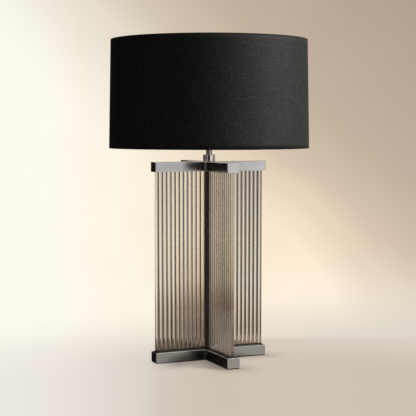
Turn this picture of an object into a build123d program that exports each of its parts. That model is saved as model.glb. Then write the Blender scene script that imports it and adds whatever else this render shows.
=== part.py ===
from build123d import *
import math
import os

# A table lamp whose column is a cross of four panels of upright glass rods, held
# between two metal crosses, with a drum shade on a harp. Sizes are in millimetres.
# The origin is on the table under the lamp's axis, +Z is up, and the four arms lie
# along +X, +Y, -X and -Y.

# Glass rods
rod_diameter = 10.0
rod_gap = 0.1  # between neighbours in a row
rod_visible = 403.5  # height that shows between the two crosses
rod_clearance = 0.15  # all round, in the seat's slot
rod_end_room = 0.3  # above each rod, so that the post takes the clamping load
rod_bevel = 0.5

# Threaded pipe down the middle, and the square post round it
pipe_diameter = 9.6
pipe_wall = 1.3
pipe_clearance = 0.3  # radial, where the pipe passes through a piece
post_room = 1.95  # between the pipe and the inside of the post
post_wall = 1.5
post_clearance = 0.15
post_rod_gap = 2.0  # from the post to the first rod
post_corner_radius = 1.0

# Black seats that the rods stand in
seat_height = 5.0
seat_floor = 1.0
seat_wall = 4.7  # beside the rod slot
seat_end_wall = 0.6
seat_recess = 1.0  # below the face of the cross
seat_clearance = 0.15
pocket_wall = 1.4  # beside the post's pocket

# Metal crosses
bar_span = 270.0
lip_width = 5.0  # on each side of the groove
web_thickness = 5.0
top_web_thickness = 16.0
groove_end_wall = 2.5
bar_bevel = 0.9
bar_end_radius = 1.4
inner_corner_radius = 3.0

# Cavity, cover plate, screws and felt under the base
cover_thickness = 2.0
cover_clearance = 0.2
cover_ledge = 2.0
cover_rim = 3.0
cavity_end_wall = 9.0
felt_thickness = 2.0
felt_inset = 1.0
boss_size = 7.0
boss_reach = 70.0
screw_shank_radius = 1.45
screw_head_radius = 2.8
screw_head_height = 1.6
screw_length = 9.0
screw_clearance = 0.08
screw_slot_width = 0.8
screw_slot_depth = 0.7

# Nuts and washer on the pipe
nut_across_flats = 14.0
nut_height = 5.0
locknut_height = 4.0
washer_radius = 9.0
washer_thickness = 1.5
pipe_stub = 1.5  # of the pipe below the lower nut
nut_room = 1.0
nut_clearance = 0.6

# Bushing where the mains lead comes in
bushing_bore_radius = 3.2
bushing_wall = 0.8
bushing_clearance = 0.1
bushing_flange_radius = 6.0
bushing_flange_thickness = 2.0
bushing_cover_room = 0.4  # between the bushing's hole and the cover plate

# Neck
collar_radius = 13.5
collar_height = 15.5
collar_bevel = 0.8
tube_radius = 6.85
tube_height = 22.0

# Harp and its saddle
saddle_thickness = 1.5
saddle_disc_radius = 11.0
saddle_arm_width = 6.0
saddle_half_span = 28.0
ear_width = 5.0
ear_thickness = 1.6
ear_height = 13.5
harp_wire_radius = 1.8
harp_height = 208.0  # from the saddle to the top of the boss
harp_half_width = 58.0
harp_shoulder_rise = 32.0  # the straight leg above the ear
harp_flare_rise = 50.0
harp_crown_drop = 39.0
harp_crown_half_width = 22.0
bend_share = 0.42  # of the shorter run beside a bend that the bend may use
harp_boss_radius = 7.0
harp_boss_height = 5.0
sleeve_wall = 1.3
sleeve_clearance = 0.2
sleeve_neck_height = 5.0
sleeve_lift = 0.5  # above the saddle's arm

# Stud and finial
stud_radius = 3.1
stud_flange_thickness = 1.5
stud_shank_radius = 2.4
stud_shank_length = 4.0
stud_height = 14.0
stud_clearance = 0.2
finial_radius = 8.5
finial_base_height = 2.5
finial_cove = 2.0
finial_neck_radius = 5.0
finial_neck_height = 2.5
finial_crown_radius = 7.5
finial_crown_bevel = 2.0
finial_height = 21.0

# Shade
shade_height = 242.0
shade_bottom_radius = 225.0
shade_taper = 4.5  # by which the top rim's radius is smaller
shade_recess = 23.5  # from the underside of the hub to the top rim
fabric_thickness = 0.8
liner_thickness = 0.6
trim_thickness = 0.5
trim_depth = 8.0
ring_wire_radius = 1.3
ring_room = 0.1
spoke_wire_radius = 1.2
hub_radius = 16.0
hub_thickness = 1.6
spoke_count = 3
spoke_bend_radius = 8.0

# Lamp socket
thread_major_radius = 13.1  # crest of the bulb's thread
thread_depth = 0.6
thread_pitch = 3.6
thread_rings = 6
thread_clearance = 0.3
screw_shell_thickness = 0.5
core_radius = 15.2
core_height = 22.0
insulator_thickness = 0.8
shell_thickness = 0.6
layer_gap = 0.2  # between the socket's sleeves
cap_wall = 1.0
cap_neck_radius = 7.5
cap_neck_height = 7.0
cap_flare_height = 3.5
cap_rim_height = 10.0
shell_height = 53.0
shell_bead_radius = 0.7
insulator_height = 49.0
contact_width = 4.0
contact_length = 9.0
contact_thickness = 0.4
contact_rise = 2.8
contact_window_radius = 8.0  # in the floor of the screw shell
terminal_head_radius = 3.2
terminal_head_thickness = 2.0
terminal_shank_radius = 1.7
terminal_shank_length = 5.0
terminal_notch = 9.0
set_screw_radius = 1.5
set_screw_length = 4.4

# Rotary switch
switch_stem_radius = 2.0
switch_stem_clearance = 0.2
switch_rise = 15.0  # above the floor of the socket's cap
switch_stem_depth = 8.0  # into the core
knob_radius = 6.5
knob_length = 14.0
knob_gap = 1.5
knob_flutes = 12
knob_flute_radius = 0.9
knob_bore_depth = 9.0
knob_edge_radius = 0.8

# Bulb
bulb_tip_radius = 4.8
bulb_tip_height = 1.5
bulb_tip_gap = 0.2  # above the contact leaf
bulb_insulator_height = 3.2
bulb_cap_thickness = 0.4
bulb_neck_radius = 14.2
bulb_neck_height = 7.0
bulb_housing_height = 38.0
bulb_housing_wall = 2.0
bulb_radius = 30.0
bulb_length = 110.0
bulb_globe_wall = 1.0
bulb_globe_rim_inset = 0.6

# Widths that follow from what the crosses hold
slot_width = rod_diameter + 2 * rod_clearance
post_side = pipe_diameter + 2 * (post_room + post_wall)
pocket_side = post_side + 2 * post_clearance
seat_width = max(slot_width + 2 * seat_wall, pocket_side + 2 * pocket_wall)
groove_width = seat_width + 2 * seat_clearance
groove_depth = seat_height + seat_recess
bar_width = groove_width + 2 * lip_width
cavity_width = bar_width - 2 * (cover_ledge + cover_rim)
recess_width = bar_width - 2 * cover_rim

# Reach of each feature along an arm, from the lamp's axis
arm_reach = bar_span / 2
groove_reach = arm_reach - groove_end_wall
seat_reach = groove_reach - seat_clearance
slot_reach = seat_reach - seat_end_wall
cavity_reach = arm_reach - cavity_end_wall
recess_reach = cavity_reach + cover_ledge

# Rows of rods: as many as fit between the post and the end of the slot
rod_radius = rod_diameter / 2
rod_pitch = rod_diameter + rod_gap
first_rod = post_side / 2 + post_rod_gap + rod_radius
row_room = slot_reach - rod_clearance - first_rod - rod_radius
rods_per_arm = int(row_room / rod_pitch) + 1

# Radii that follow from a fit
nut_corner_radius = nut_across_flats / math.sqrt(3)
thread_root_radius = thread_major_radius - thread_depth
pipe_radius = pipe_diameter / 2
pipe_hole_radius = pipe_radius + pipe_clearance
barrel_radius = bushing_bore_radius + bushing_wall
barrel_hole_radius = barrel_radius + bushing_clearance
screw_hole_radius = screw_shank_radius + screw_clearance

shade_top_radius = shade_bottom_radius - shade_taper

# Heights, from the table up
cavity_depth = max(
    washer_thickness + nut_height + pipe_stub + nut_room,
    2 * (barrel_hole_radius + bushing_cover_room),
)
base_low = felt_thickness
cavity_low = base_low + cover_thickness
cavity_high = cavity_low + cavity_depth
groove_floor = cavity_high + web_thickness
base_high = groove_floor + groove_depth
rod_low = groove_floor + seat_floor
top_low = base_high + rod_visible
groove_ceiling = top_low + groove_depth
rod_high = groove_ceiling - seat_floor
top_high = groove_ceiling + top_web_thickness
collar_high = top_high + collar_height
saddle_low = collar_high + tube_height
saddle_high = saddle_low + saddle_thickness
ear_high = saddle_high + ear_height
boss_high = saddle_high + harp_height
harp_wire_high = boss_high - harp_boss_height / 2
hub_low = boss_high + stud_flange_thickness
hub_high = hub_low + hub_thickness
shade_high = hub_low + shade_recess
shade_low = shade_high - shade_height
cap_low = saddle_high + locknut_height
cap_floor = cap_low + cap_neck_height + cap_flare_height
core_high = cap_floor + core_height
switch_level = cap_floor + switch_rise
terminal_level = cap_floor + core_height / 2
contact_high = core_high + contact_rise
tip_low = contact_high + bulb_tip_gap
insulator_low = tip_low + bulb_tip_height
bulb_cap_low = insulator_low + bulb_insulator_height
bulb_cap_high = bulb_cap_low + (thread_rings - 1) * thread_pitch
housing_high = bulb_cap_high + bulb_housing_height
globe_centre = tip_low + bulb_length - bulb_radius
pipe_low = cavity_high - washer_thickness - nut_height - pipe_stub
pipe_high = cap_floor - pipe_stub

# Sleeves of the socket, from the bulb's thread outwards
screw_shell_radius = thread_major_radius + thread_clearance + screw_shell_thickness
insulator_radius = core_radius + layer_gap + insulator_thickness
shell_radius = insulator_radius + layer_gap + shell_thickness
cap_inner_radius = shell_radius + layer_gap
cap_radius = cap_inner_radius + cap_wall

standing = (Align.CENTER, Align.CENTER, Align.MIN)


def rod_of(radius, height, z, bore=0.0):
    """A round bar, disc or tube that stands on height z."""
    bar = Cylinder(radius, height, align=standing)
    if bore:
        bar -= Cylinder(bore, height, align=standing)
    return Pos(0, 0, z) * bar


def turned(points):
    """A solid turned about the lamp's axis from (radius, height) points."""
    return revolve(Plane.XZ * make_face(Polyline(*points, close=True)), Axis.Z)


def plus(span, width, height, z):
    """A plain plus-shaped plate that stands on height z."""
    outline = Rectangle(span, width) + Rectangle(width, span)
    return Pos(0, 0, z) * extrude(outline, height)


def round_arms(item, count=4):
    """Copies of a piece, turned about the lamp's axis."""
    return [Rot(0, 0, 360 / count * index) * item for index in range(count)]


def group(pieces):
    """Like pieces that share one node, as separate solids."""
    return Compound([solid for piece in pieces for solid in piece.solids()])


def bar_cross(height, z):
    """The outer form of a metal cross, with its corners and edges rounded."""
    outline = Rectangle(bar_span, bar_width) + Rectangle(bar_width, bar_span)
    corners = outline.vertices().filter_by(lambda corner: corner.center().length < bar_width)
    outline = fillet(corners, inner_corner_radius)
    outer = outline.vertices().filter_by(lambda corner: corner.center().length > arm_reach)
    solid = extrude(fillet(outer, bar_end_radius), height)
    levels = solid.edges().group_by(Axis.Z)
    return Pos(0, 0, z) * fillet(levels[0] + levels[-1], bar_bevel)


def bore(radius, z, height):
    """A round cutter on the lamp's axis."""
    return rod_of(radius, height, z)


def arm_boss():
    """A block on the cavity's wall that a cover screw goes into, on the +Y arm."""
    side = cavity_width / 2 - boss_size / 2
    return Pos(side, boss_reach, cavity_low) * Box(boss_size, boss_size, cavity_depth, align=standing)


def at_boss(item):
    """A piece on the axis, moved to the first cover screw."""
    return Pos(cavity_width / 2 - boss_size / 2, boss_reach, 0) * item


def inlet_axis(item):
    """A piece on the +Z axis, laid along +Y at the mains inlet, starting at the cavity."""
    level = cavity_low + cavity_depth / 2
    return Pos(0, cavity_reach, level) * Rot(-90, 0, 0) * item


def base_cross():
    body = bar_cross(base_high - base_low, base_low)
    body -= plus(2 * groove_reach, groove_width, groove_depth, groove_floor)
    cavity = plus(2 * cavity_reach, cavity_width, cavity_depth, cavity_low)
    cavity += bore(washer_radius + nut_clearance, cavity_low, cavity_depth)
    for boss in round_arms(arm_boss()):
        cavity -= boss
    body -= cavity
    body -= plus(2 * recess_reach, recess_width, cover_thickness, base_low)
    body -= bore(pipe_hole_radius, cavity_high, web_thickness)
    body -= inlet_axis(rod_of(barrel_hole_radius, cavity_end_wall, 0))
    thread = at_boss(rod_of(screw_hole_radius, screw_length, base_low))
    for hole in round_arms(thread):
        body -= hole
    return body


def screw_form(spare):
    """A countersunk screw pointing up, larger all round by a spare amount."""
    head = screw_head_radius + spare
    shank = screw_shank_radius + spare
    return turned([
        (0, base_low),
        (head, base_low),
        (shank, base_low + screw_head_height),
        (shank, base_low + screw_length),
        (0, base_low + screw_length),
    ])


def cover_screws():
    slot = Pos(0, 0, base_low) * Box(4 * screw_head_radius, screw_slot_width, 2 * screw_slot_depth)
    return group(round_arms(at_boss(screw_form(0) - slot)))


def cover_plate():
    span = 2 * (recess_reach - cover_clearance)
    width = recess_width - 2 * cover_clearance
    plate = plus(span, width, cover_thickness, base_low)
    for hole in round_arms(at_boss(screw_form(screw_clearance))):
        plate -= hole
    return plate


def base_felt():
    span = bar_span - 2 * felt_inset
    return plus(span, bar_width - 2 * felt_inset, felt_thickness, 0)


def cord_bushing():
    barrel = rod_of(barrel_radius, cavity_end_wall, 0)
    flange = rod_of(bushing_flange_radius, bushing_flange_thickness, cavity_end_wall)
    flange = fillet(flange.edges().group_by(Axis.Z)[-1], bushing_wall)
    passage = rod_of(bushing_bore_radius, cavity_end_wall + bushing_flange_thickness, 0)
    return inlet_axis(barrel + flange - passage)


def hex_nut(height, z):
    blank = extrude(RegularPolygon(nut_across_flats / 2, 6, major_radius=False), height)
    return Pos(0, 0, z) * blank - bore(pipe_radius, z, height)


def rod_seat():
    """A seat lying on height zero, with its slots and the post's pocket open upwards."""
    depth = seat_height - seat_floor
    seat = plus(2 * seat_reach, seat_width, seat_height, 0)
    seat -= plus(2 * slot_reach, slot_width, depth, seat_floor)
    seat -= Pos(0, 0, seat_floor) * Box(pocket_side, pocket_side, depth, align=standing)
    return seat - bore(pipe_hole_radius, 0, seat_floor)


def rod_row():
    """The rods of the +X arm."""
    length = rod_high - rod_low - rod_end_room
    rod = rod_of(rod_radius, length, rod_low)
    rod = chamfer(rod.edges().filter_by(GeomType.CIRCLE), rod_bevel)
    return group([Pos(first_rod + index * rod_pitch, 0, 0) * rod for index in range(rods_per_arm)])


def centre_post():
    inner = post_side - 2 * post_wall
    outline = RectangleRounded(post_side, post_side, post_corner_radius) - Rectangle(inner, inner)
    return Pos(0, 0, rod_low) * extrude(outline, rod_high - rod_low)


def top_cross():
    body = bar_cross(top_high - top_low, top_low)
    body -= plus(2 * groove_reach, groove_width, groove_depth, top_low)
    return body - bore(pipe_hole_radius, groove_ceiling, top_web_thickness)


def neck_collar():
    body = rod_of(collar_radius, collar_height, top_high)
    body = fillet(body.edges().filter_by(GeomType.CIRCLE), collar_bevel)
    body -= bore(nut_corner_radius + nut_clearance, top_high, locknut_height + nut_clearance)
    return body - bore(pipe_hole_radius, top_high, collar_height)


def harp_saddle():
    strip = Box(2 * saddle_half_span + ear_thickness, saddle_arm_width, saddle_thickness, align=standing)
    plate = Pos(0, 0, saddle_low) * strip + rod_of(saddle_disc_radius, saddle_thickness, saddle_low)
    ear = Pos(saddle_half_span, 0, saddle_high) * Box(ear_thickness, ear_width, ear_height, align=standing)
    return plate + ear + mirror(ear, Plane.YZ) - bore(pipe_hole_radius, saddle_low, saddle_thickness)


def harp_points():
    """Corners of the harp's wire on its right side, from the ear to the crown."""
    return [
        (saddle_half_span, ear_high),
        (saddle_half_span, ear_high + harp_shoulder_rise),
        (harp_half_width, ear_high + harp_shoulder_rise + harp_flare_rise),
        (harp_half_width, harp_wire_high - harp_crown_drop),
        (harp_crown_half_width, harp_wire_high),
    ]


def bend_radii(points):
    """A tangent radius for each corner of a path, from the runs beside it."""
    radii = []
    for before, corner, after in zip(points, points[1:], points[2:]):
        runs = [math.dist(before, corner), math.dist(corner, after)]
        heading = math.atan2(corner[1] - before[1], corner[0] - before[0])
        turn = math.atan2(after[1] - corner[1], after[0] - corner[0]) - heading
        turn = abs(math.remainder(turn, 2 * math.pi))
        radii.append(bend_share * min(runs) / math.tan(turn / 2))
    return radii


def bent_wire(points, radii, wire_radius):
    """A round wire along a path of (x, z) points in the XZ plane."""
    path = Plane.XZ * FilletPolyline(*points, radius=radii)
    return sweep(Plane(path @ 0, z_dir=path % 0) * Circle(wire_radius), path=path)


def harp_bow():
    right = harp_points()
    points = right + [(-x, z) for x, z in reversed(right)]
    wire = bent_wire(points, bend_radii(points), harp_wire_radius)
    boss = rod_of(harp_boss_radius, harp_boss_height, boss_high - harp_boss_height)
    return wire + boss - bore(stud_shank_radius, boss_high - harp_boss_height, harp_boss_height)


def harp_sleeve(side):
    """The ferrule that slides over an ear and the foot of the harp's wire."""
    ear_bore = (ear_width ** 2 + ear_thickness ** 2) ** 0.5 / 2 + sleeve_clearance
    outer = ear_bore + sleeve_wall
    low = saddle_high + sleeve_lift
    tube = rod_of(outer, ear_high - low, low, ear_bore)
    tube += rod_of(outer, sleeve_neck_height, ear_high, harp_wire_radius + sleeve_clearance)
    return Pos(side * saddle_half_span, 0, 0) * tube


def shade_stud():
    stud = rod_of(harp_boss_radius, stud_flange_thickness, boss_high)
    stud += rod_of(stud_radius, stud_height, hub_low)
    return stud + rod_of(stud_shank_radius, stud_shank_length, boss_high - stud_shank_length)


def finial():
    bore_radius = stud_radius + stud_clearance
    bore_high = hub_low + stud_height + stud_clearance
    neck_low = hub_high + finial_base_height + finial_cove
    neck_high = neck_low + finial_neck_height
    top = hub_high + finial_height
    return turned([
        (bore_radius, hub_high),
        (finial_radius, hub_high),
        (finial_radius, hub_high + finial_base_height),
        (finial_neck_radius, neck_low),
        (finial_neck_radius, neck_high),
        (finial_crown_radius, neck_high + finial_cove),
        (finial_crown_radius, top - finial_crown_bevel),
        (finial_crown_radius - finial_crown_bevel, top),
        (0, top),
        (0, bore_high),
        (bore_radius, bore_high),
    ])


def shade_radius(z):
    """Outer radius of the shade's cone at height z."""
    share = (z - shade_low) / shade_height
    return shade_bottom_radius + share * (shade_top_radius - shade_bottom_radius)


def shade_skin(inset, thickness):
    """A conical sheet of the shade, between the two trims."""
    low = shade_low + trim_thickness
    high = shade_high - trim_thickness
    return turned([
        (shade_radius(low) - inset - thickness, low),
        (shade_radius(low) - inset, low),
        (shade_radius(high) - inset, high),
        (shade_radius(high) - inset - thickness, high),
    ])


def ring_radius(z):
    """Centre line of a wire ring that lies inside the liner at height z."""
    return shade_radius(z) - fabric_thickness - liner_thickness - ring_room - ring_wire_radius


def rim_wire_level(rim, inward):
    """Height of the wire ring under a rim: inward is -1 at the top and 1 at the bottom."""
    return rim + inward * (trim_thickness + ring_room + ring_wire_radius)


def shade_trim(rim, inward):
    """Fabric turned over a rim and its wire ring, and down inside them."""
    wire_level = rim_wire_level(rim, inward)
    inner = ring_radius(wire_level) - ring_wire_radius - ring_room - trim_thickness
    return turned([
        (shade_radius(rim), rim),
        (shade_radius(rim + inward * trim_thickness), rim + inward * trim_thickness),
        (inner + trim_thickness, rim + inward * trim_thickness),
        (inner + trim_thickness, rim + inward * trim_depth),
        (inner, rim + inward * trim_depth),
        (inner, rim),
    ])


def shade_ring(rim, inward):
    level = rim_wire_level(rim, inward)
    return Pos(0, 0, level) * Torus(ring_radius(level), ring_wire_radius)


def shade_spider():
    """The dropped spokes and the hub, welded to the top ring."""
    ring_level = rim_wire_level(shade_high, -1)
    hub_level = hub_low + hub_thickness / 2
    reach = ring_radius(ring_level)
    corners = [(reach, ring_level), (reach, hub_level), (hub_radius - spoke_wire_radius, hub_level)]
    spoke = bent_wire(corners, spoke_bend_radius, spoke_wire_radius)
    frame = rod_of(hub_radius, hub_thickness, hub_low)
    for item in round_arms(Rot(0, 0, 90) * spoke, spoke_count):
        frame += item
    return frame - bore(stud_radius + stud_clearance, hub_low, hub_thickness)


def thread_points(minor, first, last):
    """Crests and roots of a rolled thread, drawn as rings from one level to another."""
    points = []
    for index in range(first, last):
        low = bulb_cap_low + (index - 1) * thread_pitch
        points += [(minor, low), (minor + thread_depth, low + thread_pitch / 2)]
    return points + [(minor, bulb_cap_low + (last - 1) * thread_pitch)]


def thin_wall(inner_points, thickness):
    """A turned sheet whose outside repeats its inside at a given thickness."""
    outer_points = [(radius + thickness, z) for radius, z in reversed(inner_points)]
    return turned(inner_points + outer_points)


def socket_cap():
    flare_low = cap_low + cap_neck_height
    cap = turned([
        (0, cap_low),
        (cap_neck_radius, cap_low),
        (cap_neck_radius, flare_low),
        (cap_radius, cap_floor),
        (cap_radius, cap_floor + cap_rim_height),
        (0, cap_floor + cap_rim_height),
    ])
    cap -= rod_of(cap_inner_radius, cap_rim_height, cap_floor)
    cap -= bore(pipe_radius, cap_low, cap_floor - cap_low)
    return cap - set_screw_axis(rod_of(set_screw_radius, cap_neck_radius, 0))


def set_screw_axis(item):
    """A piece on +Z, laid along +Y through the neck of the socket's cap."""
    return Pos(0, 0, cap_low + cap_neck_height / 2) * Rot(-90, 0, 0) * item


def socket_set_screw():
    return set_screw_axis(rod_of(set_screw_radius, set_screw_length, pipe_radius))


def switch_axis(item):
    """A piece on +Z, laid along -Y at the switch."""
    return Pos(0, 0, switch_level) * Rot(90, 0, 0) * item


def switch_hole():
    return switch_axis(rod_of(switch_stem_radius + switch_stem_clearance, cap_radius, 0))


def terminal_screw():
    """A terminal's screw on its axis, with the underside of its head at zero."""
    head = rod_of(terminal_head_radius, terminal_head_thickness, 0)
    slot = Box(screw_slot_width, 4 * terminal_head_radius, 2 * screw_slot_depth)
    head -= Pos(0, 0, terminal_head_thickness) * slot
    return head + rod_of(terminal_shank_radius, terminal_shank_length, -terminal_shank_length)


def terminal_axis(item):
    """A piece on +Z, laid along +X at the seat of the right terminal's head."""
    seat = core_radius - terminal_head_thickness - layer_gap
    return Pos(seat, 0, terminal_level) * Rot(0, 90, 0) * item


def terminal_screws():
    screw = terminal_axis(terminal_screw())
    return group([screw, mirror(screw, Plane.YZ)])


def socket_core():
    """The moulded block that carries the contacts and the switch."""
    notch = Box(terminal_notch, terminal_notch, core_radius, align=standing)
    thread = rod_of(terminal_shank_radius, terminal_shank_length, -terminal_shank_length)
    cutter = terminal_axis(notch + thread)
    stem_low = core_radius - switch_stem_depth
    stem_hole = rod_of(switch_stem_radius + switch_stem_clearance, core_radius, stem_low)
    core = rod_of(core_radius, core_height, cap_floor)
    return core - cutter - mirror(cutter, Plane.YZ) - switch_axis(stem_hole)


def socket_insulator():
    tube = rod_of(insulator_radius, insulator_height, cap_floor, core_radius + layer_gap)
    return tube - switch_hole()


def socket_shell():
    inner = shell_radius - shell_thickness
    bead_level = cap_floor + shell_height - shell_bead_radius
    shell = rod_of(shell_radius, shell_height, cap_floor)
    shell += Pos(0, 0, bead_level) * Torus(shell_radius, shell_bead_radius)
    return shell - bore(inner, cap_floor, shell_height) - switch_hole()


def screw_shell():
    """The threaded cup that the bulb screws into, its thread drawn as rings."""
    minor = thread_root_radius + thread_clearance
    wall = thin_wall([(minor, core_high)] + thread_points(minor, 0, thread_rings), screw_shell_thickness)
    floor = rod_of(minor, screw_shell_thickness, core_high, contact_window_radius)
    return wall + floor


def centre_contact():
    """A folded leaf that springs up against the bulb's tip."""
    half = contact_length / 2
    fold = 3 * contact_thickness
    leaf = Polyline(
        (-half, 0),
        (half, 0),
        (half, contact_thickness),
        (fold - half, contact_thickness),
        (0, contact_rise - contact_thickness),
        (half - fold, contact_rise - contact_thickness),
        (half - fold, contact_rise),
        (-contact_thickness, contact_rise),
        (-half, 2 * contact_thickness),
        close=True,
    )
    face = Plane.XZ * make_face(leaf)
    return Pos(0, contact_width / 2, core_high) * extrude(face, contact_width)


def switch_stem():
    low = core_radius - switch_stem_depth
    high = cap_radius + knob_gap + knob_bore_depth
    return switch_axis(rod_of(switch_stem_radius, high - low, low))


def switch_knob():
    low = cap_radius + knob_gap
    knob = rod_of(knob_radius, knob_length, low)
    knob = fillet(knob.edges().group_by(Axis.Z)[-1], knob_edge_radius)
    flute = Pos(knob_radius, 0, 0) * rod_of(knob_flute_radius, knob_length, low)
    for item in round_arms(flute, knob_flutes):
        knob -= item
    return switch_axis(knob - bore(switch_stem_radius, low, knob_bore_depth))


def bulb_tip():
    return rod_of(bulb_tip_radius, bulb_tip_height, tip_low)


def bulb_insulator():
    return turned([
        (0, insulator_low),
        (bulb_tip_radius, insulator_low),
        (thread_root_radius, bulb_cap_low),
        (0, bulb_cap_low),
    ])


def bulb_cap():
    root = thread_root_radius - bulb_cap_thickness
    return thin_wall(thread_points(root, 1, thread_rings), bulb_cap_thickness)


def bulb_housing():
    inner = [
        (thread_root_radius - bulb_housing_wall, bulb_cap_high),
        (bulb_neck_radius - bulb_housing_wall, bulb_cap_high + bulb_neck_height),
        (bulb_radius - bulb_globe_rim_inset - bulb_housing_wall, housing_high),
    ]
    return thin_wall(inner, bulb_housing_wall)


def dome(radius, rim_radius):
    """A solid dome from the rim of the bulb's housing upwards."""
    side = Polyline((0, housing_high), (rim_radius, housing_high), (radius, globe_centre))
    crown = CenterArc((0, globe_centre), radius, 0, 90)
    axis = Line((0, globe_centre + radius), (0, housing_high))
    return revolve(Plane.XZ * make_face(side + crown + axis), Axis.Z)


def bulb_globe():
    rim = bulb_radius - bulb_globe_rim_inset
    return dome(bulb_radius, rim) - dome(bulb_radius - bulb_globe_wall, rim - bulb_globe_wall)


right_row, back_row, left_row, front_row = round_arms(rod_row())

pieces = {
    "base_felt": base_felt(),
    "base_cross": base_cross(),
    "cover_plate": cover_plate(),
    "cover_screws": cover_screws(),
    "cord_bushing": cord_bushing(),
    "lower_washer": rod_of(washer_radius, washer_thickness, cavity_high - washer_thickness, pipe_radius),
    "lower_nut": hex_nut(nut_height, cavity_high - washer_thickness - nut_height),
    "lower_rod_seat": Pos(0, 0, groove_floor) * rod_seat(),
    "rods_right": right_row,
    "rods_back": back_row,
    "rods_left": left_row,
    "rods_front": front_row,
    "centre_post": centre_post(),
    "upper_rod_seat": Pos(0, 0, groove_ceiling) * Rot(180, 0, 0) * rod_seat(),
    "top_cross": top_cross(),
    "lamp_pipe": rod_of(pipe_radius, pipe_high - pipe_low, pipe_low, pipe_radius - pipe_wall),
    "column_locknut": hex_nut(locknut_height, top_high),
    "neck_collar": neck_collar(),
    "neck_tube": rod_of(tube_radius, tube_height, collar_high, pipe_hole_radius),
    "harp_saddle": harp_saddle(),
    "saddle_locknut": hex_nut(locknut_height, saddle_high),
    "harp_bow": harp_bow(),
    "harp_sleeve_left": harp_sleeve(-1),
    "harp_sleeve_right": harp_sleeve(1),
    "shade_stud": shade_stud(),
    "finial": finial(),
    "shade_fabric": shade_skin(0, fabric_thickness),
    "shade_liner": shade_skin(fabric_thickness, liner_thickness),
    "shade_trim_top": shade_trim(shade_high, -1),
    "shade_trim_bottom": shade_trim(shade_low, 1),
    "shade_ring_top": shade_ring(shade_high, -1),
    "shade_ring_bottom": shade_ring(shade_low, 1),
    "shade_spider": shade_spider(),
    "socket_cap": socket_cap(),
    "socket_set_screw": socket_set_screw(),
    "socket_core": socket_core(),
    "socket_insulator": socket_insulator(),
    "socket_shell": socket_shell(),
    "screw_shell": screw_shell(),
    "centre_contact": centre_contact(),
    "terminal_screws": terminal_screws(),
    "switch_stem": switch_stem(),
    "switch_knob": switch_knob(),
    "bulb_tip": bulb_tip(),
    "bulb_insulator": bulb_insulator(),
    "bulb_cap": bulb_cap(),
    "bulb_housing": bulb_housing(),
    "bulb_globe": bulb_globe(),
}

os.makedirs("parts", exist_ok=True)
for name, shape in pieces.items():
    export_step(shape, f"parts/{name}.step")
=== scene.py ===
import math
import random

import bmesh
import bpy
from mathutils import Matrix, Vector


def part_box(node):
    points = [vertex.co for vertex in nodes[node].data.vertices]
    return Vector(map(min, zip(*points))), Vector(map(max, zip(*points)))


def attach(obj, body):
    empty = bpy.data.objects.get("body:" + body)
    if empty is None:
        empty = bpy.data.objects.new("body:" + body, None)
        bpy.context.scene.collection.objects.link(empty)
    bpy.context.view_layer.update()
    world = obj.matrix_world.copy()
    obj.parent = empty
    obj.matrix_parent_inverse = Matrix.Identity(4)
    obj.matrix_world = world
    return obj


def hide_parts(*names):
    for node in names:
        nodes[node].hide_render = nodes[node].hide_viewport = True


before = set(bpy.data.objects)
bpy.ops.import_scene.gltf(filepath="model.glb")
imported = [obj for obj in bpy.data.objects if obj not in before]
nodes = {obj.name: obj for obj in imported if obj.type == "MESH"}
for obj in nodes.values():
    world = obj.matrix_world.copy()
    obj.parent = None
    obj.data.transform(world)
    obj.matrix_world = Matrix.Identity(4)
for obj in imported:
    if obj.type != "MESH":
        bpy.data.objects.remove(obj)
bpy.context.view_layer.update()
random.seed(7)
mm = 0.001

# the Principled sockets in use, under shorter names
spelled = {
    "colour": "Base Color", "metal": "Metallic", "rough": "Roughness", "normal": "Normal", "ior": "IOR",
    "level": "Specular IOR Level", "clear": "Transmission Weight", "sheen": "Sheen Weight",
    "sheenRough": "Sheen Roughness", "sheenTint": "Sheen Tint", "under": "Subsurface Weight",
    "underScale": "Subsurface Scale", "underReach": "Subsurface Radius",
}


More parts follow.
